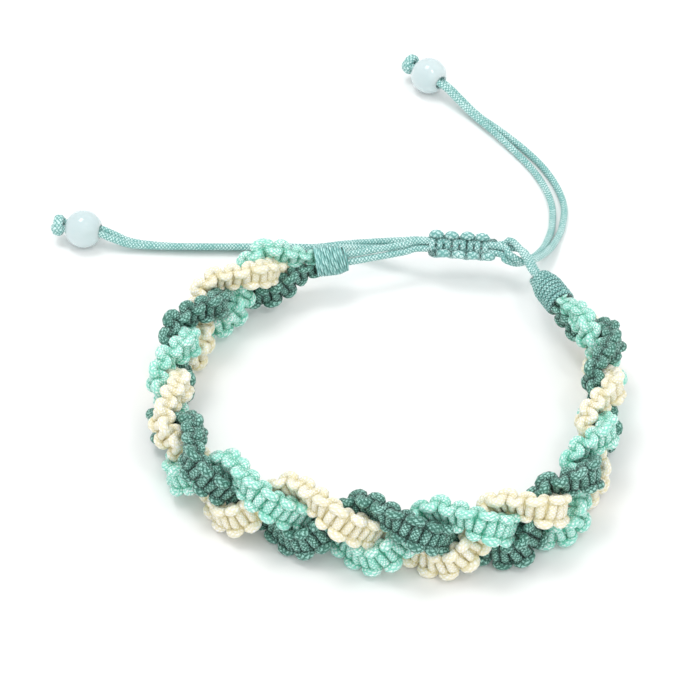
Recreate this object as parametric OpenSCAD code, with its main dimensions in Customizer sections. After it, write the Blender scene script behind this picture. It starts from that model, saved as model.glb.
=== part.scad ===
// Woven bracelet: three macrame strands plaited into a band that stands on its edge,
// bound at both ends and closed by two pairs of tie cords that slide through a knot.
// Millimetres, +Z up. The origin is on the surface under the middle of the bracelet.

/* [Strands] */
// Width of one knotted strand
strand_w = 5; // [4.2:0.1:5]
// Thickness of one knotted strand
strand_t = 2.1; // [1.8:0.1:2.1]
// How far a strand swings above and below the middle of the band
swing = 4.2; // [4.2:0.1:4.6]
// How far a strand swings outwards and inwards where it crosses another
cross_depth = 1.85; // [1.85:0.05:2]
// Most that a strand leans over as it turns at the band's edge, in degrees
strand_lean = 24; // [20:1:26]

/* [End wraps] */
// Length of the left wrap
left_wrap_len = 5.4; // [4.8:0.1:6]
// Length of the right wrap
right_wrap_len = 7.6; // [7:0.1:8]
// Outer diameter of the wraps
wrap_d = 4.8; // [4.6:0.1:5.2]
// Turns of thread in the left wrap
left_wrap_turns = 9; // [7:1:11]
// Turns of cord in the right wrap
right_wrap_turns = 5; // [4:1:6]

/* [Tie cords] */
// Diameter of a tie cord
tie_d = 1.1; // [1:0.05:1.1]
// Square knots in the sliding knot
slide_knots = 4; // [3:1:4]
// Length of one square knot
slide_pitch = 2.4; // [2.3:0.1:2.6]

/* [Beads] */
// Diameter of a bead
bead_d = 6; // [5.5:0.1:6]
// Diameter of the drilled hole, wide enough for two cords
bead_hole = 2.4; // [2.35:0.05:2.6]

/* [Hidden] */

dark = [0.33, 0.55, 0.5];
mint = [0.49, 0.87, 0.73];
cream = [0.94, 0.9, 0.78];
teal = [0.47, 0.72, 0.66];
milk = [0.87, 0.92, 0.94];

// Middle line of the band seen from above: length and turn of each arc, in order
// from inside the left wrap, round the front, to inside the right wrap.
LENGTH = 0;
TURN = 1;
loop_rows = [
    [left_wrap_len / 2, 0], [7.7, 21], [11.3, 24], [29.7, 54.7], [18, 48.7], [14.4, 4.5],
    [26.5, 43.1], [8.4, 38.5], [10.5, 13.2], [14.5, 7.8], [12.1, 45.5], [3.4, -14],
    [right_wrap_len / 2, 0]
];
loop_start = [-8.59, 27.19, 190];
loop_len = total(loop_rows, LENGTH);

// How full the plait is along its length: it is drawn tighter towards the ends.
fullness = [[0, 0.8], [25, 0.86], [40, 0.88], [54, 1], [98, 1], [115, 0.94], [130, 0.84], [163, 0.8]];
// How fast the strands swing along it, in shares of the whole
pace = [
    [0, 0.2], [3, 0.5], [8, 8], [14, 11.8], [38, 12.6], [62, 10.9], [74, 10.8], [98, 11.6],
    [108, 14.2], [128, 13.1], [148, 11.4], [154, 6.5], [159, 0.6], [163, 0.2]
];
// Length over which the strands draw together beside a wrap
gather_len = 8;
// Radius of a drawn-in strand end, and of the ring on which the three ends lie
end_r = 0.75;
end_ring_r = 0.97;
// The strands' order in the plait at the left wrap, in degrees of one full swing
dark_phase = 210;
mint_phase = 90;
cream_phase = 330;
// Thirds of a full swing that each strand makes from wrap to wrap
crossings = 15;
strand_rings = 104;
strand_sides = 12;
ring_step = loop_len / strand_rings;
band_z = swing + strand_w / 2 - 0.08;

// Bores of the wraps: round the three strand ends, and round the two cords
wrap_bore_r = end_r + end_ring_r + 0.15;
cord_bore_r = 1.25;

// Routes of the two pairs of tie cords: the middle between the two cords, how far
// apart the two lie, and how far the pair is rolled from flat, in degrees.
GAP = 3;
ROLL = 4;
close_gap = 1.16;
knot_roll = 55;
left_route = [
    [-8.16, 27.27, 6.62, close_gap, 55], [-5.26, 27.8, 6.65, close_gap, 55],
    [-1.26, 28.9, 6.6, close_gap, 55], [2.74, 30.1, 6.5, close_gap, 55],
    [5.94, 30.8, 6.63, close_gap, 55], [17.14, 29.67, 6.63, close_gap, 55],
    [18.8, 28.4, 6.2, 1.25, 80], [20.8, 28.6, 4.9, 1.25, 130],
    [23.1, 30.9, 3.6, 1.2, 150], [25.2, 34.8, 2, close_gap, 165], [26.44, 38.3, 1, 1.3, 180],
    [27.34, 41.7, 0.6, 1.6, 180], [27.74, 46.2, 0.6, 1.9, 180], [26.94, 50.7, 0.6, 1.9, 180],
    [24.94, 55.7, 0.6, 1.8, 180], [22.14, 60.2, 0.65, 1.7, 185], [18.74, 64.7, 0.8, 1.5, 198],
    [15.34, 68.7, 0.9, 1.2, 208], [12.54, 71.7, 1.95, close_gap, 208], [10.34, 73.9, 2.95, close_gap, 208],
    [7.74, 76.5, 3, close_gap, 208], [5.24, 79, 3, close_gap, 208]
];
right_route = [
    [24.93, 20.55, 6.62, close_gap, -140], [22.83, 24.65, 6.7, close_gap, -140],
    [21.9, 27.3, 6.9, 1.2, -135], [20.8, 29.3, 7.1, 1.25, -125],
    [19.3, 30.8, 6.7, 1.25, -75], [17.14, 30.63, 5.97, close_gap, -55],
    [5.94, 31.75, 5.97, close_gap, -55], [2.34, 32.5, 5.2, close_gap, -40],
    [-1.76, 34.1, 3.6, close_gap, -20], [-6.26, 35.8, 1.9, 1.22, 10],
    [-11.26, 36.4, 1, close_gap, 40], [-16.26, 36.55, 0.96, close_gap, 44],
    [-21.26, 36.55, 0.96, close_gap, 44], [-26.26, 36.55, 0.96, close_gap, 44],
    [-31.26, 36.6, 0.96, close_gap, 44], [-36.26, 36.9, 0.92, close_gap, 32],
    [-40.26, 37.2, 1.2, close_gap, 15], [-43.26, 37.6, 2.35, close_gap, 0],
    [-45.26, 38, 3, close_gap, 0], [-50.66, 39.2, 3, close_gap, 0]
];

function total(rows, column) = len(rows) == 0 ? 0 : [for (row = rows) row[column]] * [for (row = rows) 1];
function unit(v) = v / norm(v);
function mix(a, b, share) = a * (1 - share) + b * share;
function smooth(t) = let (c = min(1, max(0, t))) c * c * (3 - 2 * c);

// A pose is x, y and heading. One arc leads from a pose to the next.
function arc_end(pose, length, turn) =
    let (chord = turn == 0 ? length : length * sin(turn / 2) * 360 / (turn * PI), mid = pose[2] + turn / 2)
    [pose[0] + chord * cos(mid), pose[1] + chord * sin(mid), pose[2] + turn];
function walk(s, pose = loop_start, i = 0) =
    let (row = loop_rows[i], part = i == len(loop_rows) - 1 ? s : min(s, row[LENGTH]))
    let (next = arc_end(pose, part, row[TURN] * part / row[LENGTH]))
    s <= row[LENGTH] || i == len(loop_rows) - 1 ? next : walk(s - row[LENGTH], next, i + 1);

// 0 inside the wraps, where the strand ends lie side by side, and 1 in the open plait
function open_plait(s) =
    smooth((s - left_wrap_len / 2) / gather_len) * smooth((loop_len - right_wrap_len / 2 - s) / gather_len);
pace_sums = [
    for (i = 0, sum = 0; i <= strand_rings; sum = sum + lookup((i + 0.5) * ring_step, pace), i = i + 1) sum
];
function swing_angle(i) = crossings * 120 * pace_sums[i] / pace_sums[strand_rings];

// Place of strand ring i in the band: up, outwards, and the lean of the strand
function plait_place(i, phase) =
    let (s = i * ring_step, full = lookup(s, fullness), open = open_plait(s), a = phase + swing_angle(i))
    [
        mix(end_ring_r, swing * full, open) * sin(a) + 0.1 * full * open * (sin(a) + sin(3 * a)),
        -mix(end_ring_r, cross_depth * full, open) * sin(2 * a) - 0.1 * full * open * sin(4 * a),
        -strand_lean * cos(3 * a) * open
    ];
function strand_centre(i, phase) =
    let (pose = walk(i * ring_step), place = plait_place(i, phase))
    [pose[0] + place[1] * sin(pose[2]), pose[1] - place[1] * cos(pose[2]), band_z + place[0]];
function strand_ring(i, phase) =
    let (
        s = i * ring_step,
        pose = walk(s),
        lean = plait_place(i, phase)[2],
        open = open_plait(s),
        full = lookup(s, fullness),
        before = strand_centre(max(0, i - 1), phase),
        after = strand_centre(min(strand_rings, i + 1), phase),
        along = unit(after - before),
        out = [sin(pose[2]), -cos(pose[2]), 0],
        up = cos(lean) * [0, 0, 1] + sin(lean) * out,
        wide = unit(up - (up * along) * along),
        thick = cross(along, wide),
        half_w = mix(end_r, strand_w / 2 * full, open * open),
        half_t = mix(end_r, strand_t / 2 * full, open),
        centre = strand_centre(i, phase)
    )
    [for (j = [0 : strand_sides - 1]) let (a = 360 * (j + 0.5) / strand_sides)
        centre + half_w * cos(a) * wide + half_t * sin(a) * thick];

// A closed skin over rings of points that all have the same number of points
module skin(rings) {
    n = len(rings[0]);
    last = len(rings) - 1;
    points = [for (ring = rings) each ring];
    sides = [for (i = [0 : last - 1]) for (j = [0 : n - 1])
        let (a = i * n + j, b = i * n + (j + 1) % n)
        each [[a, b + n, b], [a, a + n, b + n]]];
    near_end = [for (j = [0 : n - 1]) j];
    far_end = [for (j = [0 : n - 1]) last * n + n - 1 - j];
    polyhedron(points = points, faces = concat(sides, [near_end, far_end]), convexity = 10);
}

module braid_strand(phase) skin([for (i = [0 : strand_rings]) strand_ring(i, phase)]);

// Round cord swept along a line of points, its rings carried along without a twist
cord_sides = 8;
function line_along(line, i) =
    let (last = len(line) - 1)
    let (coming = line[max(1, i)] - line[max(1, i) - 1])
    let (going = line[min(last, i + 1)] - line[min(last, i + 1) - 1])
    unit(unit(coming) + unit(going));
function square_to(v, along) = unit(v - (v * along) * along);
function carried_sides(line) =
    [for (i = 0, side = square_to([0.1, 0.2, 1], line_along(line, 0));
        i < len(line);
        i = i + 1, side = i < len(line) ? square_to(side, line_along(line, i)) : side) side];
function cord_ring(centre, along, side, radius) =
    let (up = cross(along, side))
    [for (j = [0 : cord_sides - 1]) let (a = 360 * (j + 0.5) / cord_sides)
        centre + radius * (cos(a) * side + sin(a) * up)];
module cord(line, radius) {
    sides = carried_sides(line);
    skin([for (i = [0 : len(line) - 1]) cord_ring(line[i], line_along(line, i), sides[i], radius)]);
}

// One cord of a pair: which is 1 or -1
function middle(route) = [for (row = route) [row[0], row[1], row[2]]];
function pair_line(route, which) =
    let (line = middle(route))
    [for (i = [0 : len(route) - 1])
        let (along = line_along(line, i), side = unit([-along[1], along[0], 0]), up = cross(along, side))
        line[i] + which * route[i][GAP] / 2 * (cos(route[i][ROLL]) * side + sin(route[i][ROLL]) * up)];

// Turns +Z to the direction along and moves to a point
module aim(point, along) {
    translate(point)
        rotate([0, acos(unit(along)[2]), atan2(along[1], along[0])])
            children();
}

// A wrap of side-by-side turns round a bore that narrows for the cords, along +Z
// from the strand end to the cord end
module end_wrap(length, turns, cord_end_d) {
    pitch = length / turns;
    groove = 0.12;
    steps = 4;
    outer = [for (i = [0 : turns * steps])
        let (z = i * pitch / steps, share = smooth((z / length - 0.55) / 0.45))
        [mix(wrap_d, cord_end_d, share) / 2 - groove * (1 + cos(360 * i / steps)) / 2, z - length / 2]];
    bore = [[cord_bore_r, length / 2], [cord_bore_r, 0.3], [wrap_bore_r, 0], [wrap_bore_r, -length / 2]];
    rotate_extrude($fn = 48) polygon(concat(outer, bore));
}

// Square knots round a core that lies along X. One cord crosses in front of the core in
// every half knot. The other crosses behind it and laps over the first at both edges.
core_half = close_gap / 2 + tie_d / 2;
knot_edge = core_half + 1.3 * tie_d;
bar_height = core_half + 0.62 * tie_d;
lap_height = 1.5;
lap_bulge = 0.35 * tie_d;
half_knot_len = slide_pitch / 2;
half_knots = 2 * slide_knots;
knot_steps = 10;
// A cosine with its ends drawn out flat, the more so for a larger power
function squared(c, power) = sign(c) * (1 - pow(1 - abs(c), power));
function front_cord(t) = [
    half_knot_len * (t + 1.3 * sin(360 * t) / (2 * PI)),
    -knot_edge * squared(cos(180 * t), 1.5),
    bar_height * (1 - pow(abs(cos(180 * t)), 4))
];
function back_cord(t) = [
    half_knot_len * (t + 1.8 * sin(360 * t) / (2 * PI)),
    bar_height * squared(cos(180 * t), 2.6) + lap_bulge * pow(cos(180 * t), 5),
    mix(-bar_height, lap_height, (1 + squared(cos(360 * t), 1.9)) / 2)
];
module square_knots() {
    times = [for (i = [0 : half_knots * knot_steps]) i / knot_steps];
    cord([for (t = times) front_cord(t)], tie_d / 2);
    cord([for (t = times) back_cord(t)], tie_d / 2);
}

slide_from = [6.34, 31.23, 6.3];
slide_to = [16.94, 30.17, 6.3];
module sliding_knot() {
    along = unit(slide_to - slide_from);
    color(teal)
        translate((slide_from + slide_to) / 2)
            rotate([0, 0, atan2(along[1], along[0])])
                rotate([knot_roll, 0, 0])
                    translate([-half_knots * half_knot_len / 2, 0, 0])
                        square_knots();
}

module bead(at, along) {
    aim(at, along) difference() {
        sphere(d = bead_d, $fn = 48);
        cylinder(h = bead_d + 1, d = bead_hole, center = true, $fn = 32);
    }
}

// Overhand knot of the pair of cords, with their two cut ends beyond it, along +Z
knot_d = 3.1;
knot_len = 2.4;
cut_end_len = 0.9;
cut_end_lean = 14;
module end_knot(at, along) {
    turn_r = knot_len / 4;
    aim(at, along) {
        for (side = [-1, 1])
            translate([0, 0, side * turn_r])
                rotate_extrude($fn = 32) translate([knot_d / 2 - turn_r, 0]) circle(r = turn_r, $fn = 16);
        cylinder(h = knot_len * 0.9, d = knot_d - 1.2, center = true, $fn = 32);
        for (side = [-1, 1])
            translate([0.5 * side, 0, 0])
                rotate([0, cut_end_lean * side, 0])
                    cylinder(h = knot_len / 2 + cut_end_len, d = tie_d * 0.95, $fn = 24);
    }
}

function along_loop(s) = let (pose = walk(s)) [cos(pose[2]), sin(pose[2]), 0];
function on_loop(s) = let (pose = walk(s)) [pose[0], pose[1], band_z];
// The beads sit on the straight last piece of a pair, and the end knots close it.
function last_along(route) = let (line = middle(route), n = len(line)) unit(line[n - 1] - line[n - 2]);
left_bead_at = [-47.66, 38.53, 3];
upper_bead_at = [7.54, 76.7, 3];
function beyond(route, distance) = middle(route)[len(route) - 1] + distance * last_along(route);

module braid_strand_dark() color(dark) braid_strand(dark_phase);
module braid_strand_mint() color(mint) braid_strand(mint_phase);
module braid_strand_cream() color(cream) braid_strand(cream_phase);
module end_wrap_left() color(teal)
    aim(on_loop(0), -along_loop(0)) end_wrap(left_wrap_len, left_wrap_turns, 3.9);
module end_wrap_right() color(dark)
    aim(on_loop(loop_len), along_loop(loop_len)) end_wrap(right_wrap_len, right_wrap_turns, 4.2);
module tie_cord_left_a() color(teal) cord(pair_line(left_route, 1), tie_d / 2);
module tie_cord_left_b() color(teal) cord(pair_line(left_route, -1), tie_d / 2);
module tie_cord_right_a() color(teal) cord(pair_line(right_route, 1), tie_d / 2);
module tie_cord_right_b() color(teal) cord(pair_line(right_route, -1), tie_d / 2);
module bead_upper() color(milk) bead(upper_bead_at, last_along(left_route));
module bead_left() color(milk) bead(left_bead_at, last_along(right_route));
module end_knot_upper() color(teal)
    end_knot(beyond(left_route, knot_len / 2 + 0.05), last_along(left_route));
module end_knot_left() color(teal)
    end_knot(beyond(right_route, knot_len / 2 + 0.05), last_along(right_route));

braid_strand_dark();
braid_strand_mint();
braid_strand_cream();
end_wrap_left();
end_wrap_right();
sliding_knot();
tie_cord_left_a();
tie_cord_left_b();
tie_cord_right_a();
tie_cord_right_b();
bead_upper();
bead_left();
end_knot_upper();
end_knot_left();
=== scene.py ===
# Woven bracelet: three strands of square knots plaited into a band that stands on its edge,
# bound at both ends, and closed by tie cords that slide through a knot and end in beads.
# Metres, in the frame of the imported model.
from math import ceil, cos, pi, radians, sin

import bmesh
import bpy
import numpy as np
from mathutils import Matrix, Vector


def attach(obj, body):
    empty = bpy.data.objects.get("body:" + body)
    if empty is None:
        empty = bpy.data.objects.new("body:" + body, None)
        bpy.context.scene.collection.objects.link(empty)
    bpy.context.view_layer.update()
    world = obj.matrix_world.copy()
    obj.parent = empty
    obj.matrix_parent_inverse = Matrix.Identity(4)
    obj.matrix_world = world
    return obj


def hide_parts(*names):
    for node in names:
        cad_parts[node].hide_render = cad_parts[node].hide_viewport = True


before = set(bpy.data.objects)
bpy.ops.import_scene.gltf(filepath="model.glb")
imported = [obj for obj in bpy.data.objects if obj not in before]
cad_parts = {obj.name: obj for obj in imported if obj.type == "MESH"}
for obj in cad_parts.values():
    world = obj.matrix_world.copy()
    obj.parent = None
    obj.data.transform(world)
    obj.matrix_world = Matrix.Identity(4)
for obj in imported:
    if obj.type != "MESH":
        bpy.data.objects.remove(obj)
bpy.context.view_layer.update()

# Sizes of the pieces
MM = 0.001
cord_r = 0.55 * MM
close_gap = 1.16 * MM
strand_half_t = 1.1 * MM
left_wrap_len = 5.4 * MM
right_wrap_len = 7.6 * MM
wrap_d = 4.8 * MM
bead_r = 3 * MM
bead_hole_r = 1.2 * MM
bead_rim_r = 0.22 * MM
end_knot_r = 1.12 * MM
end_knot_beyond = 0.95 * MM

# The plait: the height of its middle, how far its strands swing up and down from there and
# weave in and out, how much they curl at the crossings, and its length in thirds of a swing
band_z = 6.62 * MM
swing = 4.2 * MM
cross_depth = 2.1 * MM
crossing_curl = 0.1 * MM
thirds_of_swing = 15

# Leans of the strands in degrees: one way and the other as they swing, back towards +Y at
# the front and the rear of the loop, and forwards again as they turn over its top edge.
# top_ahead is how far ahead of the top, in degrees of the swing, that last lean peaks; the
# strand is lower and narrower there
strand_lean = 16
lean_back = 14
lean_over = 18
top_ahead = 8
top_drop = 0.5 * MM
top_narrowing = 0.15

# The ends of the strands: how far from the wraps they gather and narrow, how thick they
# are, and how far from the middle of the wrap they lie
gather_len = 8 * MM
widen_len = 5.5 * MM
end_r = 0.75 * MM
end_ring_r = 0.97 * MM

# Middle line of the band seen from above: length in metres and turn in degrees of each
# arc, from inside the left wrap, round the front, to inside the right wrap. It starts at
# an x and y in metres with a heading in degrees
LOOP_ARCS = (
    (left_wrap_len / 2, 0), (0.0077, 21), (0.0113, 24), (0.0297, 54.7), (0.018, 48.7),
    (0.0144, 4.5), (0.0265, 43.1), (0.0084, 38.5), (0.0105, 13.2), (0.0145, 7.8),
    (0.0121, 45.5), (0.0034, -14), (right_wrap_len / 2, 0),
)
LOOP_START = (-0.00859, 0.02719, 190)
loop_len = sum(length for length, turn in LOOP_ARCS)

# How full the plait is, and the pace at which its strands swing in relation to elsewhere,
# by the distance along the loop in metres
FULLNESS = (
    (0, 0.8), (0.025, 0.86), (0.04, 0.88), (0.054, 1), (0.098, 1), (0.115, 0.94),
    (0.13, 0.84), (0.163, 0.8),
)
PACE = (
    (0, 0.2), (0.003, 0.5), (0.008, 8), (0.014, 11.8), (0.038, 12.6), (0.062, 10.9),
    (0.074, 10.8), (0.098, 11.6), (0.108, 14.2), (0.128, 13.1), (0.148, 11.4),
    (0.154, 6.5), (0.159, 0.6), (0.163, 0.2),
)

# Routes of the two pairs of tie cords from wrap to end knot: x, y and z of the middle
# between the two cords, how far apart they lie, and the pair's roll from flat in degrees
LEFT_ROUTE = (
    (-0.00816, 0.02727, 0.00662, close_gap, 55), (-0.00526, 0.0278, 0.00665, close_gap, 55),
    (-0.00126, 0.0289, 0.0066, close_gap, 55), (0.00274, 0.0301, 0.0065, close_gap, 55),
    (0.00594, 0.0308, 0.00663, close_gap, 55), (0.01714, 0.02967, 0.00663, close_gap, 55),
    (0.0188, 0.0284, 0.0062, 0.00125, 80), (0.0208, 0.0286, 0.0049, 0.00125, 130),
    (0.0231, 0.0309, 0.0036, 0.0012, 150), (0.0252, 0.0348, 0.002, close_gap, 165),
    (0.02644, 0.0383, 0.001, 0.0013, 180), (0.02734, 0.0417, 0.0006, 0.0016, 180),
    (0.02774, 0.0462, 0.0006, 0.0019, 180), (0.02694, 0.0507, 0.0006, 0.0019, 180),
    (0.02494, 0.0557, 0.0006, 0.0018, 180), (0.02214, 0.0602, 0.00065, 0.0017, 185),
    (0.01874, 0.0647, 0.0008, 0.0015, 198), (0.01534, 0.0687, 0.0009, 0.0012, 208),
    (0.01254, 0.0717, 0.00195, close_gap, 208), (0.01034, 0.0739, 0.00295, close_gap, 208),
    (0.00774, 0.0765, 0.003, close_gap, 208), (0.00524, 0.079, 0.003, close_gap, 208),
)
RIGHT_ROUTE = (
    (0.02493, 0.02055, 0.00662, close_gap, -140), (0.02283, 0.02465, 0.0067, close_gap, -140),
    (0.0219, 0.0273, 0.0069, 0.0012, -135), (0.0208, 0.0293, 0.0071, 0.00125, -125),
    (0.0193, 0.0308, 0.0067, 0.00125, -75), (0.01714, 0.03063, 0.00597, close_gap, -55),
    (0.00594, 0.03175, 0.00597, close_gap, -55), (0.00234, 0.0325, 0.0052, close_gap, -40),
    (-0.00176, 0.0341, 0.0036, close_gap, -20), (-0.00626, 0.0358, 0.0019, 0.00122, 10),
    (-0.01126, 0.0364, 0.001, close_gap, 40), (-0.01626, 0.03655, 0.00096, close_gap, 44),
    (-0.02126, 0.03655, 0.00096, close_gap, 44), (-0.02626, 0.03655, 0.00096, close_gap, 44),
    (-0.03126, 0.0366, 0.00096, close_gap, 44), (-0.03626, 0.0369, 0.00092, close_gap, 32),
    (-0.04026, 0.0372, 0.0012, close_gap, 15), (-0.04326, 0.0376, 0.00235, close_gap, 0),
    (-0.04526, 0.038, 0.003, close_gap, 0), (-0.05066, 0.0392, 0.003, close_gap, 0),
)
LEFT_BEAD_AT = Vector((-0.04766, 0.03853, 0.003))
UPPER_BEAD_AT = Vector((0.00754, 0.0767, 0.003))

# The sliding knot: from where to where it reaches, and its roll in degrees
SLIDE_FROM = Vector((0.00634, 0.03123, 0.0063))
SLIDE_TO = Vector((0.01694, 0.03017, 0.0063))
slide_roll = 40


# Plain maths

def mix(a, b, share):
    return a * (1 - share) + b * share


def smooth(t):
    t = np.clip(t, 0, 1)
    return t * t * (3 - 2 * t)


def unit(v):
    return v / np.linalg.norm(v, axis=-1, keepdims=True)


def squared(c, power):
    """A cosine with its ends drawn out flat, the more so for a larger power."""
    return np.sign(c) * (1 - (1 - np.abs(c)) ** power)


def square_to(v, along):
    return unit(v - (v @ along) * along)


def tangents(line):
    return unit(np.gradient(line, axis=0))


def lengths_along(line):
    steps = np.linalg.norm(np.diff(line, axis=0), axis=1)
    return np.concatenate([[0], np.cumsum(steps)])


def smooth_line(points, spacing):
    """A smooth curve through the points, cut into even steps."""
    p = np.vstack([2 * points[0] - points[1], points, 2 * points[-1] - points[-2]])
    fine_step = 0.05
    fine = []
    for a, b, c, d in zip(p, p[1:], p[2:], p[3:]):
        for t in np.arange(0, 1, fine_step):
            fine.append(0.5 * (2 * b + (c - a) * t + (2 * a - 5 * b + 4 * c - d) * t ** 2
                               + (3 * b - a - 3 * c + d) * t ** 3))
    fine = np.array(fine + [points[-1]])
    run = lengths_along(fine)
    even = np.linspace(0, run[-1], ceil(run[-1] / spacing) + 1)
    return np.stack([np.interp(even, run, fine[:, k]) for k in range(3)], axis=1)


# Stage: camera, floor and lights

def place_camera():
    target = Vector((-0.00559, 0.01409, 0))
    elevation = radians(44)
    distance = 0.5
    data = bpy.data.cameras.new("camera")
    data.lens = 167.9
    data.sensor_width = 36
    data.clip_start = 0.01
    data.clip_end = 10
    camera = bpy.data.objects.new("camera", data)
    camera.location = target + distance * Vector((0, -cos(elevation), sin(elevation)))
    camera.rotation_euler = (pi / 2 - elevation, 0, 0)
    bpy.context.collection.objects.link(camera)
    bpy.context.scene.camera = camera


def area_light(name, place, size, power):
    data = bpy.data.lights.new(name, "AREA")
    data.size = size
    data.energy = power
    lamp = bpy.data.objects.new(name, data)
    lamp.location = place
    lamp.rotation_euler = (-Vector(place)).to_track_quat("-Z", "Y").to_euler()
    bpy.context.collection.objects.link(lamp)


def light_stage():
    area_light("key_softbox", (-0.2, 0.15, 0.8), size=0.3, power=1.8)
    area_light("small_softbox", (0.25, -0.2, 0.7), size=0.12, power=0.5)
    area_light("front_softbox", (0.3, -0.6, 0.6), size=0.8, power=0.8)
    world = bpy.data.worlds.new("studio")
    world.use_nodes = True
    background = world.node_tree.nodes["Background"]
    background.inputs["Color"].default_value = (1, 1, 1, 1)
    background.inputs["Strength"].default_value = 0.92
    bpy.context.scene.world = world
    bpy.context.scene.view_settings.view_transform = "Standard"


# Shader maths

class Value:
    """A number that varies over a surface. Arithmetic on it adds Math nodes."""

    def __init__(self, shader, socket):
        self.shader = shader
        self.socket = socket

    def math(self, operation, *operands):
        return self.shader.node("ShaderNodeMath", list(operands), operation=operation)

    def __add__(self, other):
        return self.math("ADD", self, other)

    __radd__ = __add__

    def __sub__(self, other):
        return self.math("SUBTRACT", self, other)

    def __rsub__(self, other):
        return self.math("SUBTRACT", other, self)

    def __mul__(self, other):
        return self.math("MULTIPLY", self, other)

    def __truediv__(self, other):
        return self.math("DIVIDE", self, other)

    def __mod__(self, other):
        return self.math("FLOORED_MODULO", self, other)

    def __pow__(self, other):
        return self.math("POWER", self, other)

    def floor(self):
        return self.math("FLOOR", self)

    def fract(self):
        return self.math("FRACT", self)

    def sin(self):
        return self.math("SINE", self)

    def clamped(self):
        return self.shader.node("ShaderNodeClamp", [self])


class Shader:
    """A material and the nodes it is made of."""

    def __init__(self, name):
        self.material = bpy.data.materials.new(name)
        self.material.use_nodes = True
        self.tree = self.material.node_tree
        self.surface = self.tree.nodes["Principled BSDF"]

    def node(self, kind, values=(), output=0, **settings):
        """Adds a node, sets it up, feeds its sockets and returns one of its outputs."""
        made = self.tree.nodes.new(kind)
        for key, value in settings.items():
            setattr(made, key, value)
        pairs = values.items() if isinstance(values, dict) else enumerate(values)
        for key, value in pairs:
            self.feed(made.inputs[key], value)
        return Value(self, made.outputs[output])

    def feed(self, socket, value):
        if isinstance(value, Value):
            self.tree.links.new(value.socket, socket)
        else:
            socket.default_value = value

    def set(self, **values):
        for key, value in values.items():
            self.feed(self.surface.inputs[key.replace("_", " ")], value)

    def blend(self, share, a, b):
        """Colour a where share is 0 and colour b where it is 1."""
        made = self.tree.nodes.new("ShaderNodeMix")
        made.data_type = "RGBA"
        colours = [s for s in made.inputs if s.type == "RGBA"]
        self.feed(made.inputs[0], share)
        for socket, colour in zip(colours, (a, b)):
            self.feed(socket, colour)
        return Value(self, next(s for s in made.outputs if s.type == "RGBA"))


def rgb(red, green, blue):
    """A colour as shown on a screen, from 0 to 255, as the linear colour a shader takes."""
    shown = np.array([red, green, blue]) / 255
    linear = np.where(shown <= 0.04045, shown / 12.92, ((shown + 0.055) / 1.055) ** 2.4)
    return (*linear, 1)


def noise(s, scale, detail):
    """Soft noise from 0 to 1 that stays with the object, finer for a larger scale."""
    place = s.node("ShaderNodeTexCoord", output="Object")
    return s.node("ShaderNodeTexNoise", {"Vector": place, "Scale": scale, "Detail": detail})


def braided_cord(name, shade_colour, body, shine, plaits_round=6, stitch_len=0.48, loose=1.3,
                 sparkle=3.2):
    """Satin cord braided from fine yarns. Each stitch is a short slanted dash, turned
    the other way from its neighbours, with a painted highlight on its back and painted
    shade in its grooves. The rows of stitches wander more where the braid is looser,
    and single yarns get painted glints. Creases and gaps, where the skin's attribute
    is low, get painted shade as well."""
    s = Shader(name)
    uv = s.node("ShaderNodeUVMap", uv_map="UVMap")
    around = s.node("ShaderNodeSeparateXYZ", [uv])
    along = Value(s, around.socket.node.outputs[1])
    wander = noise(s, 1100.0, 1.0)
    left = around * plaits_round + along / stitch_len + (wander - 0.5) * loose
    right = around * plaits_round - along / stitch_len + (wander - 0.5) * loose
    over = (left.floor() + right.floor()) % 2
    across_left = (left.fract() * pi).sin()
    across_right = (right.fract() * pi).sin()
    stitch_end = 0.35
    leftward = across_left * across_right ** stitch_end
    rightward = across_right * across_left ** stitch_end
    stitch = leftward * (1 - over) + rightward * over
    yarns = noise(s, 5200.0, 3.0)
    patches = noise(s, 420.0, 1.0)
    # Painted shade: this attribute is 1 on open surfaces and falls towards 0 in creases, gaps and
    # grooves, where the colour goes over to the first colour, the shade colour
    height = s.node("ShaderNodeAttribute", output="Fac", attribute_name="height")
    # Painted shade also in the grooves between the stitches
    shaded_body = s.blend((height * 0.85 + stitch * 0.35 - 0.15).clamped(), shade_colour, body)
    # Painted highlight: pale glints on stitch tops and on single sparkling yarns, fainter where
    # shade is painted
    glint = (stitch * 1.6 - 0.75 + (yarns - 0.5) * sparkle + (patches - 0.5) * 1.4).clamped()
    s.set(
        Base_Color=s.blend((glint * (0.3 + height * 0.7)).clamped(), shaded_body, shine),
        Roughness=0.4 + yarns * 0.2,
        Normal=s.node("ShaderNodeBump", {
            "Strength": 0.8,
            "Distance": 0.1 * MM,
            "Height": stitch + yarns * 0.5,
        }),
        Sheen_Weight=0.2,
        Sheen_Roughness=0.4,
    )
    return s.material


def milky_glass():
    """Milk-white glass, slightly clear, with a soft cloud inside and a high polish."""
    s = Shader("milky_glass")
    cloud = noise(s, 240.0, 2.0)
    polish = noise(s, 900.0, 1.0)
    s.set(
        Base_Color=s.blend(cloud, rgb(202, 221, 224), rgb(226, 240, 241)),
        Roughness=0.06 + polish * 0.05,
        Subsurface_Weight=0.6,
        Subsurface_Radius=(1.0, 1.0, 1.0),
        Subsurface_Scale=1.2 * MM,
        Transmission_Weight=0.15,
        IOR=1.49,
        Coat_Weight=0.4,
        Coat_Roughness=0.03,
    )
    return s.material


def floor_paper():
    s = Shader("floor_paper")
    grain = noise(s, 60.0, 3.0)
    s.set(Base_Color=s.blend(grain, rgb(246, 246, 246), rgb(252, 252, 252)), Roughness=0.9)
    return s.material


def lay_floor():
    bpy.ops.object.select_all(action="DESELECT")
    bpy.ops.mesh.primitive_plane_add(size=6)
    floor = bpy.context.object
    floor.name = "floor"
    floor.data.materials.append(floor_paper())


# Cords as skins over rings

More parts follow.
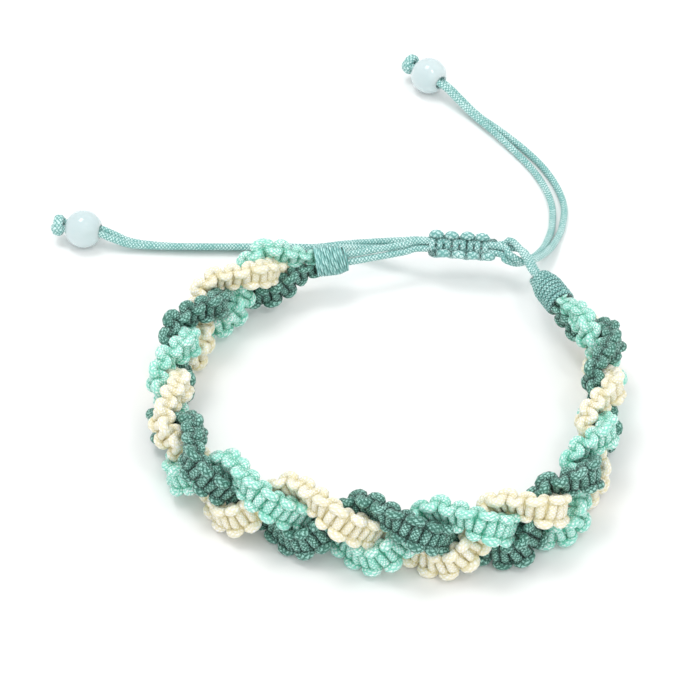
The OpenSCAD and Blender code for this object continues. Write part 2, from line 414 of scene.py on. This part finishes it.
# The rings that round off the end of a tube: the share of its radius each has, and how many
# radii out from the end it lies
ROUND_END = ((0.9, 0.35), (0.62, 0.78), (0.3, 0.95))
end_rings = len(ROUND_END)


class Skin:
    """Points, faces, pattern places, and how much painted shade each point gets, for one or more
    tubes, as one mesh.
    """

    def __init__(self):
        self.points = []
        self.faces = []
        self.around = []
        self.along = []
        self.height = []

    def tube(self, line, radius, sides=8, pressed=(1, 1, 1), height=1.0):
        """Adds a tube along a line, with rounded ends. pressed stretches each ring
        along X, Y and Z, as a cord that is pulled tight goes flat."""
        radius = np.broadcast_to(np.asarray(radius, float), len(line)).copy()
        pressed = np.broadcast_to(np.asarray(pressed, float), (len(line), 3))
        going = tangents(line)
        first = [line[0] - going[0] * radius[0] * out for share, out in reversed(ROUND_END)]
        last = [line[-1] + going[-1] * radius[-1] * out for share, out in ROUND_END]
        shares = np.array([share for share, out in ROUND_END])
        radius = np.concatenate([radius[0] * shares[::-1], radius, radius[-1] * shares])
        line = np.vstack([first, line, last])
        going = np.pad(going, ((end_rings, end_rings), (0, 0)), "edge")
        pressed = np.pad(pressed, ((end_rings, end_rings), (0, 0)), "edge")
        run = lengths_along(line)
        angles = 2 * pi * (np.arange(sides) + 0.5) / sides
        along_no_tube = np.array([0.12, 0.23, 1.0])
        side = square_to(along_no_tube, going[0])
        start = sum(len(p) for p in self.points)
        for centre, along, r, press in zip(line, going, radius, pressed):
            side = square_to(side, along)
            up = np.cross(along, side)
            ring = np.outer(np.cos(angles), side) + np.outer(np.sin(angles), up)
            self.points.append(centre + r * ring * press)
        for i in range(len(line) - 1):
            for j in range(sides):
                a = start + i * sides + j
                b = start + i * sides + (j + 1) % sides
                self.faces.append((a, b, b + sides, a + sides))
                u = (j / sides, (j + 1) / sides)
                v = (run[i] / MM, run[i + 1] / MM)
                self.around += [u[0], u[1], u[1], u[0]]
                self.along += [v[0], v[0], v[1], v[1]]
        end = start + (len(line) - 1) * sides
        around_end = np.arange(sides)
        for ring, v in ((start + around_end[::-1], 0), (end + around_end, run[-1] / MM)):
            self.faces.append(tuple(int(k) for k in ring))
            self.around += [j / sides for j in range(sides)]
            self.along += [v] * sides
        # How much painted shade the tube gets: 1 for none, lower for more
        self.height.append(np.full(len(line) * sides, float(height)))

    def crease(self, lines, rings, reach):
        """Paints shade into the creases: lowers the attribute that keeps the colour in full light
        where the last two tubes touch each other or themselves.
        The tubes run along the lines, with so many rings in one half knot."""
        touching, fading, own_stretch = 0.95, 0.75, 0.6 * rings
        in_tube = len(lines[0]) + 2 * end_rings
        last = len(lines[0]) - 1
        at = np.clip(np.arange(in_tube) - end_rings, 0, last)
        lit_shares = []
        for own in range(len(lines)):
            start = len(self.points) - (len(lines) - own) * in_tube
            skin = np.array(self.points[start:start + in_tube])
            nearest = np.full(skin.shape[:2], 1.0)
            for other, others_line in enumerate(lines):
                for step in range(-2 * rings, 2 * rings + 1):
                    if other == own and abs(step) < own_stretch:
                        continue
                    beside = others_line[np.clip(at + step, 0, last)]
                    nearest = np.minimum(nearest, np.linalg.norm(skin - beside[:, None], axis=2))
            lit_shares.append(np.clip((nearest / reach - touching) / fading, 0, 1).ravel())
        self.height[-len(lines):] = lit_shares

    def bend(self, place):
        """Moves all points by a function of their array."""
        self.points = [place(np.vstack(self.points))]

    def piece(self, name, material, slot, *nodes):
        """Makes the skin an object that rides on the bracelet and stands for its nodes."""
        mesh = bpy.data.meshes.new(name)
        mesh.from_pydata(np.vstack(self.points).tolist(), [], self.faces)
        uv = mesh.uv_layers.new(name="UVMap")
        uv.data.foreach_set("uv", np.stack([self.around, self.along], axis=1).ravel())
        # The attribute that paints shade into the colour
        height = mesh.attributes.new("height", "FLOAT", "POINT")
        height.data.foreach_set("value", np.concatenate(self.height).astype(np.float32))
        mesh.polygons.foreach_set("use_smooth", [True] * len(mesh.polygons))
        mesh.materials.append(material)
        mesh.update()
        made = bpy.data.objects.new(name, mesh)
        bpy.context.collection.objects.link(made)
        return dress(made, slot, *nodes)


def dress(made, slot, *nodes):
    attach(made, "root")
    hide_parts(*nodes)
    return made


# Tie cords

def pair_lines(route):
    """The centre lines of both cords of a pair."""
    rows = np.array(route)
    middle = rows[:, :3]
    steps = unit(np.diff(middle, axis=0))
    going = unit(np.vstack([steps[:1], steps[:-1] + steps[1:], steps[-1:]]))
    side = unit(np.stack([-going[:, 1], going[:, 0], 0 * going[:, 0]], axis=1))
    up = np.cross(going, side)
    roll = np.radians(rows[:, 4:5])
    half = rows[:, 3:4] / 2
    apart = half * (np.cos(roll) * side + np.sin(roll) * up)
    return [smooth_line(middle + which * apart, spacing=0.3 * MM) for which in (1, -1)]


def tie_cord(node, line, cord_len):
    skin = Skin()
    skin.tube(line, cord_r, sides=12)
    made = skin.piece("cord_of_" + node, teal_cord, "teal_cord", node)


# The plait

def walk_loop(s):
    """Place and heading on the band's middle line at a distance along it."""
    x, y, heading = LOOP_START
    for i, (length, turn) in enumerate(LOOP_ARCS):
        last = i == len(LOOP_ARCS) - 1
        part = s if last else min(s, length)
        turned = turn * part / length
        half = radians(turned / 2)
        chord = part if turned == 0 else part * sin(half) / half
        x += chord * cos(radians(heading) + half)
        y += chord * sin(radians(heading) + half)
        heading += turned
        s -= part
        if s <= 0:
            break
    return x, y, radians(heading)


def open_plait(s, gather):
    """0 where the strand ends lie side by side in the wraps, 1 in the open plait."""
    return (smooth((s - left_wrap_len / 2) / gather)
            * smooth((loop_len - right_wrap_len / 2 - s) / gather))


plait_s = np.linspace(0, loop_len, 801)
plait_full = np.interp(plait_s, *zip(*FULLNESS))
plait_open = open_plait(plait_s, gather_len)
plait_wide = open_plait(plait_s, widen_len)
plait_pace = np.interp(plait_s, *zip(*PACE))
plait_swing = np.concatenate([[0], np.cumsum((plait_pace[1:] + plait_pace[:-1]) / 2)])
plait_swing *= radians(thirds_of_swing * 120) / plait_swing[-1]
loop_poses = np.array([walk_loop(s) for s in plait_s])


class StrandPath:
    """Where one strand runs in the plait, and how wide and thick it is there."""

    def __init__(self, phase):
        a = radians(phase) + plait_swing
        x, y, heading = loop_poses.T
        out = np.stack([np.sin(heading), -np.cos(heading), 0 * heading], axis=1)
        topmost = np.maximum(np.sin(a + radians(top_ahead)), 0) ** 6
        curl = crossing_curl * plait_full * plait_open
        rise = (mix(end_ring_r, swing * plait_full, plait_open) * np.sin(a)
                + curl * (np.sin(a) + np.sin(3 * a)) - top_drop * plait_open * topmost)
        reach = (-mix(end_ring_r, cross_depth * plait_full, plait_open) * np.sin(2 * a)
                 - curl * np.sin(4 * a))
        lean = -strand_lean * np.cos(3 * a) + (lean_back - lean_over * topmost) * out[:, 1]
        lean = np.radians(lean * plait_open)[:, None]
        self.centre = np.stack([x, y, band_z + rise], axis=1) + reach[:, None] * out
        up = np.cos(lean) * np.array([0, 0, 1.0]) + np.sin(lean) * out
        going = tangents(self.centre)
        self.wide = unit(up - np.sum(up * going, axis=1)[:, None] * going)
        self.thick = np.cross(going, self.wide)
        in_plait = (1 + plait_full) / 2
        self.wide_share = mix(0.5, in_plait, plait_wide) * (1 - top_narrowing * topmost)
        self.thick_share = mix(end_r / strand_half_t, in_plait, plait_wide)
        self.run = lengths_along(self.centre)
        self.length = self.run[-1]

    def place(self, local):
        """Points along, across and out of a straight strand, moved to the plait."""
        x, y, z = local.T[:, :, None]

        def at(values):
            columns = [np.interp(x[:, 0], self.run, column) for column in values.T]
            return np.stack(columns, axis=1)

        across = y * at(self.wide_share[:, None]) * unit(at(self.wide))
        outwards = z * at(self.thick_share[:, None]) * unit(at(self.thick))
        placed = at(self.centre) + across + outwards
        # The floor presses the lowest laps flat
        placed[:, 2] = np.maximum(placed[:, 2], 0)
        return placed


def square_knots(skin, start, end, half_len, edge, bar, lap, radius, drawn, seed, rings=14):
    """Two cords tied in square knots round a core along X, from one half knot to another.
    One crosses in front of the core in every half knot, the other behind it, and each
    laps over the ends of the other's bars at the edges, drawn out along the core.
    edge is how far out the laps lie. bar is how far a cord lies on its own side of the
    core as it crosses, and lap how far on the other side at the edges."""
    uneven_place, uneven_edge, uneven_height, uneven_radius = 0.07, 0.03, 0.05, 0.05
    t = np.linspace(start, end, ceil((end - start) * rings) + 1)
    rng = np.random.default_rng(seed)
    ties = np.arange(start, end + 1)

    def uneven(size):
        return 1 + np.interp(t, ties, rng.normal(0, size, len(ties)))

    wave = np.sin(2 * pi * t) / (2 * pi)
    lapping = (1 + squared(np.cos(2 * pi * t), 1.5)) / 2
    front_out_to = 0.78
    back_out_to = 0.84 + 0.16 * lapping ** 2
    lines = []
    for face, out_to in ((1, front_out_to), (-1, back_out_to)):
        lines.append(np.stack([
            half_len * (t + drawn * wave + uneven(uneven_place) - 1),
            -face * edge * out_to * squared(np.cos(pi * t), 2.2) * uneven(uneven_edge),
            face * mix(bar, -lap, lapping) * uneven(uneven_height)], axis=1))
        fuller_in_laps = 1 + 0.35 * lapping
        skin.tube(lines[-1], radius * uneven(uneven_radius) * fuller_in_laps, sides=10)
    # Painted shade where the cords press on each other
    skin.crease(lines, rings, reach=0.45 * half_len)


def knotted_strand(node, phase, material, slot, seed):
    path = StrandPath(phase)
    pitch = 2.65 * MM
    half_knots = 2 * round(path.length / pitch)
    half_len = path.length / half_knots
    skin = Skin()
    square_knots(
        skin, 0, half_knots, half_len, edge=1.78 * MM, bar=0.74 * MM, lap=1.0 * MM,
        radius=0.55 * MM, drawn=1.8, seed=seed)
    core = np.linspace(0, path.length, 240)
    core_line = np.stack([core, 0 * core, 0 * core], axis=1)
    # The core shows only in the gaps between the knots and is painted almost fully in shade
    skin.tube(core_line, 0.55 * MM, sides=12, pressed=(1, 3.1, 1.1), height=0.1)
    skin.bend(path.place)
    skin.piece("knots_of_" + node, material, slot, node)


# Wraps, sliding knot, beads and end knots

def aimed(centre, along):
    """Turns +Z to the direction along and moves to the centre."""
    return Matrix.Translation(centre) @ Vector(along).to_track_quat("Z", "Y").to_matrix().to_4x4()


def moved_by(matrix):
    turn = np.array(matrix.to_3x3())
    shift = np.array(matrix.translation)
    return lambda points: points @ turn.T + shift


def end_wrap(node, s, outwards, length, turns, cord_end_d, thread_r, slant, material, slot):
    """Thread wound round the strand ends, from the strand end to the narrower cord end,
    over a round-ended sleeve that closes the gaps between the turns. The turns slant,
    all but the first and the last. Shade is painted into the grooves between the turns
    and onto the sleeve."""
    x, y, heading = walk_loop(s)
    along = outwards * Vector((cos(heading), sin(heading), 0))
    rings_in_turn = 28
    narrow_from = 0.55
    t = np.linspace(0, 1, turns * rings_in_turn + 1)
    narrow = smooth((t - narrow_from) / (1 - narrow_from))
    r = mix(wrap_d, cord_end_d, narrow) / 2 - thread_r
    a = 2 * pi * turns * t
    slanted = slant * (1 - (2 * t - 1) ** 4) * r * np.sin(a)
    z = (t - 0.5) * (length - 2 * thread_r) + slanted
    skin = Skin()
    skin.tube(np.stack([r * np.cos(a), r * np.sin(a), z], axis=1), thread_r, sides=8)
    sleeve = np.linspace(-0.12, 0.12, 8)
    sleeve_line = np.stack([0 * sleeve, 0 * sleeve, sleeve * length], axis=1)
    sleeve_r = np.interp(sleeve + 0.5, t, r) - 0.3 * thread_r
    # The sleeve shows only between the turns and is painted partly in shade
    skin.tube(sleeve_line, sleeve_r, sides=24, height=0.6)
    # Painted shade: the colour darkens towards the grooves between the turns
    turns_skin = np.array(skin.points[:len(t) + 2 * end_rings])
    from_middle = np.hypot(turns_skin[..., 0], turns_skin[..., 1])
    outwards_by = from_middle - np.pad(r, end_rings, "edge")[:, None]
    skin.height[0] = np.clip(outwards_by / thread_r * 1.6 - 0.5, 0, 1).ravel()
    skin.bend(moved_by(aimed((x, y, band_z), along)))
    skin.piece("turns_of_" + node, material, slot, node)


def sliding_knot():
    """Four square knots round the four tie cords, from just before a bar to past a lap."""
    half_len = 1.165 * MM
    skin = Skin()
    start, end = -0.8, 7.2
    square_knots(
        skin, start, end, half_len, edge=1.5 * MM, bar=1.2 * MM, lap=1.45 * MM,
        radius=0.5 * MM, drawn=2, seed=5, rings=18)
    along = (SLIDE_TO - SLIDE_FROM).normalized()
    turn = (Matrix.Rotation(np.arctan2(along.y, along.x), 4, "Z")
            @ Matrix.Rotation(radians(slide_roll), 4, "X"))
    middle = Matrix.Translation((SLIDE_FROM + SLIDE_TO) / 2)
    centred = Matrix.Translation((-(start + end) / 2 * half_len, 0, 0))
    skin.bend(moved_by(middle @ turn @ centred))
    skin.piece("knots_of_sliding_knot", teal_cord, "teal_cord", "sliding_knot")


def bead(node, centre, along):
    """A ball cut flat at both poles, drilled through, with softened rims."""
    bpy.ops.object.select_all(action="DESELECT")
    bpy.ops.mesh.primitive_uv_sphere_add(segments=64, ring_count=32, radius=bead_r)
    made = bpy.context.object
    made.name = "glass_of_" + node
    half_bore = (bead_r ** 2 - bead_hole_r ** 2) ** 0.5
    bpy.ops.object.mode_set(mode="EDIT")
    for end in (1, -1):
        bpy.ops.mesh.select_all(action="SELECT")
        bpy.ops.mesh.bisect(
            plane_co=(0, 0, end * half_bore), plane_no=(0, 0, end), clear_outer=True)
    mesh = bmesh.from_edit_mesh(made.data)
    for edge in mesh.edges:
        edge.select_set(edge.is_boundary)
    bmesh.update_edit_mesh(made.data)
    bpy.ops.mesh.bridge_edge_loops(number_cuts=6)
    bpy.ops.mesh.select_all(action="DESELECT")
    mesh = bmesh.from_edit_mesh(made.data)
    nearly = 0.001 * MM
    for edge in mesh.edges:
        rim = all(abs(abs(v.co.z) - half_bore) < nearly for v in edge.verts)
        edge.select_set(rim)
    bmesh.update_edit_mesh(made.data)
    bpy.ops.mesh.bevel(offset=bead_rim_r, segments=4)
    bpy.ops.mesh.select_all(action="SELECT")
    bpy.ops.mesh.normals_make_consistent(inside=False)
    bpy.ops.object.mode_set(mode="OBJECT")
    made.data.transform(aimed(centre, along))
    bpy.ops.object.shade_smooth()
    made.data.materials.append(milk_bead)
    return dress(made, "milk_bead", node)


def end_knot(node, centre, along):
    """Both cords wound once round each other, with their cut ends beyond the knot."""
    half_len = 0.42 * MM
    windings = 1.1
    t = np.linspace(-1, 1, 49)
    end = np.linspace(0, 1, 8)
    end_out = (0.45 + 0.2 * end) * MM
    end_z = (0.9 * end - 0.2) * MM
    skin = Skin()
    for phase in (0, pi):
        a = phase + windings * pi * t
        r = end_knot_r * (1 - 0.2 * np.abs(t) ** 4)
        turn = np.stack([r * np.cos(a), r * np.sin(a), half_len * t], axis=1)
        skin.tube(turn, 0.6 * MM, sides=10)
        cut_end = np.stack([end_out * cos(phase), end_out * sin(phase), end_z], axis=1)
        skin.tube(cut_end, 0.48 * MM, sides=10)
    skin.bend(moved_by(aimed(centre, along)))
    return skin.piece("turns_of_" + node, teal_cord, "teal_cord", node)


place_camera()
light_stage()
lay_floor()

# Each cord's colours: painted shade for its creases and grooves, its own colour, and painted
# highlight for its glints
dark_cord = braided_cord(
    "dark_teal_cord", rgb(4, 40, 31), rgb(66, 128, 112), rgb(166, 220, 208))
mint_cord = braided_cord(
    "mint_cord", rgb(66, 178, 146), rgb(160, 236, 219), rgb(246, 255, 254))
cream_cord = braided_cord(
    "cream_cord", rgb(224, 212, 156), rgb(250, 245, 218), rgb(255, 255, 255))
teal_cord = braided_cord(
    "soft_teal_cord", rgb(8, 60, 54), rgb(130, 196, 191), rgb(226, 252, 250),
    plaits_round=5, stitch_len=0.56, loose=0.9, sparkle=3.6)
wrap_thread = braided_cord(
    "teal_thread", rgb(14, 76, 70), rgb(136, 204, 199), rgb(206, 248, 245),
    plaits_round=1, stitch_len=3, loose=0.5, sparkle=1.6)
wrap_cord = braided_cord(
    "dark_teal_thread", rgb(4, 40, 38), rgb(100, 172, 166), rgb(200, 242, 238),
    plaits_round=5, stitch_len=0.46, loose=0.8, sparkle=2.2)
milk_bead = milky_glass()

for route, side, far, bead_at, len_a, len_b in (
        (LEFT_ROUTE, "left", "upper", UPPER_BEAD_AT, 0.094, 0.09),
        (RIGHT_ROUTE, "right", "left", LEFT_BEAD_AT, 0.084, 0.0845)):
    before, tip = (Vector(row[:3]) for row in route[-2:])
    along = (tip - before).normalized()
    glass = bead("bead_" + far, bead_at, along)
    knot = end_knot("end_knot_" + far, tip + end_knot_beyond * along, along)
    line_a, line_b = pair_lines(route)
    tie_cord(f"tie_cord_{side}_a", line_a, len_a)
    tie_cord(f"tie_cord_{side}_b", line_b, len_b)

knotted_strand("braid_strand_dark", 210, dark_cord, "dark_cord", seed=11)
knotted_strand("braid_strand_mint", 90, mint_cord, "mint_cord", seed=12)
knotted_strand("braid_strand_cream", 330, cream_cord, "cream_cord", seed=13)
end_wrap(
    "end_wrap_left", 0, -1, left_wrap_len, turns=15, cord_end_d=3.9 * MM,
    thread_r=0.185 * MM, slant=-0.3, material=wrap_thread, slot="teal_cord")
end_wrap(
    "end_wrap_right", loop_len, 1, right_wrap_len, turns=8, cord_end_d=3.5 * MM,
    thread_r=0.5 * MM, slant=0.1, material=wrap_cord, slot="dark_cord")
sliding_knot()
